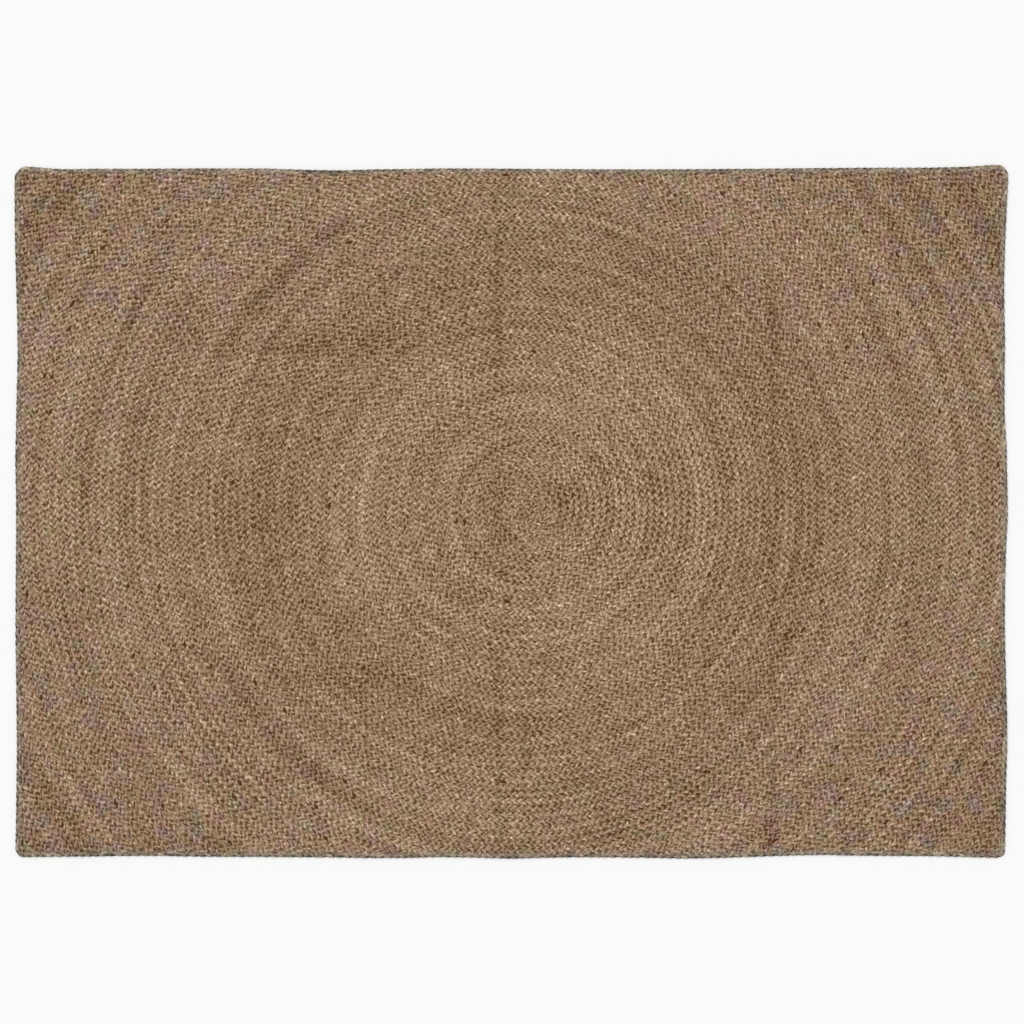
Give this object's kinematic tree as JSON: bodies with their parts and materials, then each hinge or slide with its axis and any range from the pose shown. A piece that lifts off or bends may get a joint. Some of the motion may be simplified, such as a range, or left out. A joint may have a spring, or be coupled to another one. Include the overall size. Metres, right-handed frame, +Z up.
{
  "type": "jute rug",
  "caption": "Rectangular jute rug: a braid coiled flat from the middle, turn sewn to turn, with a row of the same braid round its edge.",
  "frame": {"origin": "on the floor, under the middle of the rug", "axes": "+X along the rug's length, +Y across its width, +Z up from the floor through its thickness"},
  "size_m": [2.3094, 1.613, 0.011],
  "materials": {
    "jute_braid": "matte",
    "jute_edge": "matte"
  },
  "bodies": {
    "root": {"braided_field": "jute_braid", "edge_braid": "jute_edge"}
  },
  "joints": []
}
